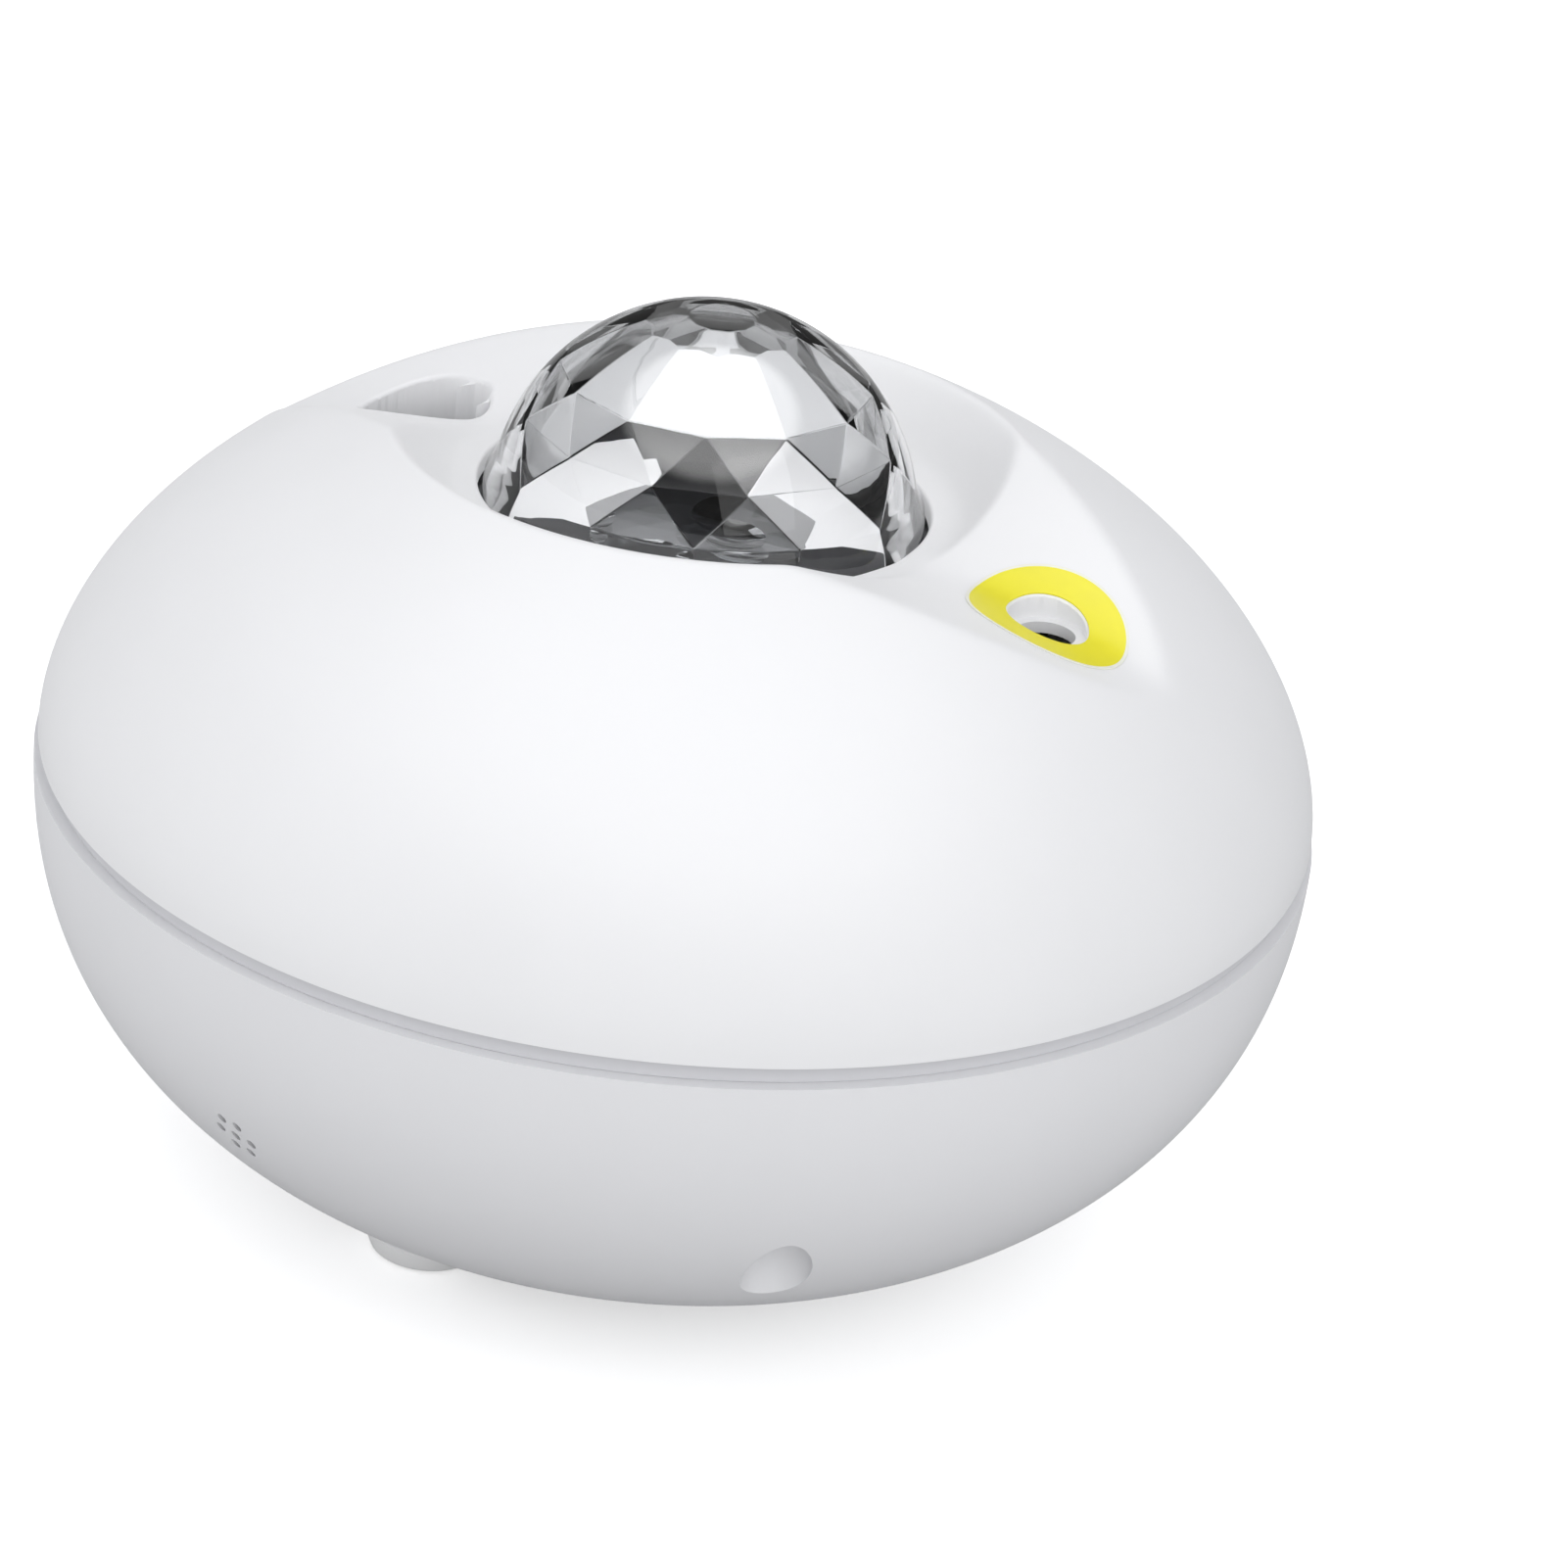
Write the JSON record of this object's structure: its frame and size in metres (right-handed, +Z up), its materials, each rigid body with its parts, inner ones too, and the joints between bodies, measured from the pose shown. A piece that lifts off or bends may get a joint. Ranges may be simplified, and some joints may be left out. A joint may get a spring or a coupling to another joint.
{
  "type": "star night light projector",
  "caption": "Egg-shaped tabletop lamp that projects stars and waves from a clear dome and two openings set in a valley across its top.",
  "frame": {"origin": "bottom centre of the bounding box: on the body's axis, at the plane that the feet stand on", "axes": "+Z up along the body's axis; -Y towards the microphone holes, +Y towards the power socket, +X towards the round light opening"},
  "size_m": [0.18, 0.18, 0.1297],
  "materials": {
    "upper_white": "fine moulded grain, satin",
    "lower_white": "fine moulded grain, satin",
    "band_grey": "satin",
    "clear_dome": "clear polished acrylic",
    "clear_lens": "clear polished acrylic",
    "grating_clear": "ruled clear film",
    "ring_yellow": "printed film, satin",
    "black_plastic": "fine texture",
    "deck_grey": "fine texture",
    "gear_white": "moulded acetal",
    "foot_rubber": "soft, matt",
    "bare_aluminium": "brushed",
    "motor_steel": "plated",
    "screw_steel": "zinc plated",
    "laser_brass": "turned",
    "board_green": "solder mask",
    "board_white": "white solder mask",
    "chip_yellow": "phosphor coat",
    "part_black": "moulded epoxy",
    "connector_white": "moulded nylon",
    "microphone_metal": "satin",
    "switch_black": "satin",
    "button_grey": "satin"
  },
  "bodies": {
    "housing": {"upper_shell": "upper_white", "lower_shell": "lower_white", "seam_ring": "band_grey", "dome_lens": "clear_dome", "dome_retainer": "black_plastic", "aperture_ring": "ring_yellow", "feet": "foot_rubber", "gear_motor": "motor_steel", "laser_holder": "black_plastic", "laser_module": "laser_brass", "optics_deck": "deck_grey", "heat_sink": "bare_aluminium", "led_board": "board_white", "led_chips": "chip_yellow", "led_holder": "black_plastic", "collimator_lens": "clear_lens", "moon_tube": "black_plastic", "moon_lens": "clear_lens", "moon_board": "board_white", "main_board": "board_green", "board_parts": "part_black", "wire_sockets": "connector_white", "microphone": "microphone_metal", "ir_receiver": "part_black", "power_socket": "part_black", "button_switch": "switch_black", "case_screws": "screw_steel", "deck_screws": "screw_steel", "retainer_screws": "screw_steel", "heat_sink_screws": "screw_steel", "optics_screws": "screw_steel", "motor_screws": "screw_steel", "board_screws": "screw_steel"},
    "ripple_rotor": {"ripple_gear": "gear_white", "ripple_lens": "clear_lens"},
    "pinion_rotor": {"motor_shaft": "motor_steel", "motor_pinion": "gear_white"},
    "grating_rotor": {"grating_gear": "gear_white", "grating_film": "grating_clear"},
    "button": {"mode_button": "button_grey"}
  },
  "joints": [
    {"name": "ripple_spin", "type": "hinge", "parent": "housing", "child": "ripple_rotor", "pos_m": [0, 0, 0.09175], "axis": [0, 0, 1], "continuous": true},
    {"name": "pinion_spin", "type": "hinge", "parent": "housing", "child": "pinion_rotor", "pos_m": [0.0341, 0.01154, 0.09175], "axis": [0, 0, 1], "continuous": true},
    {"name": "grating_spin", "type": "hinge", "parent": "housing", "child": "grating_rotor", "pos_m": [0.0529, 0.0088, 0.09175], "axis": [0, 0, 1], "continuous": true},
    {"name": "mode_button_press", "type": "slide", "parent": "housing", "child": "button", "axis": [0, -1, 0], "range_m": [0, 0.0008], "stiffness_N_per_m": 2000, "springref_m": -0.0003}
  ],
  "couplings": [
    {"joint": "pinion_spin", "follows": "ripple_spin", "ratio": -5},
    {"joint": "grating_spin", "follows": "ripple_spin", "ratio": 2.3077}
  ]
}
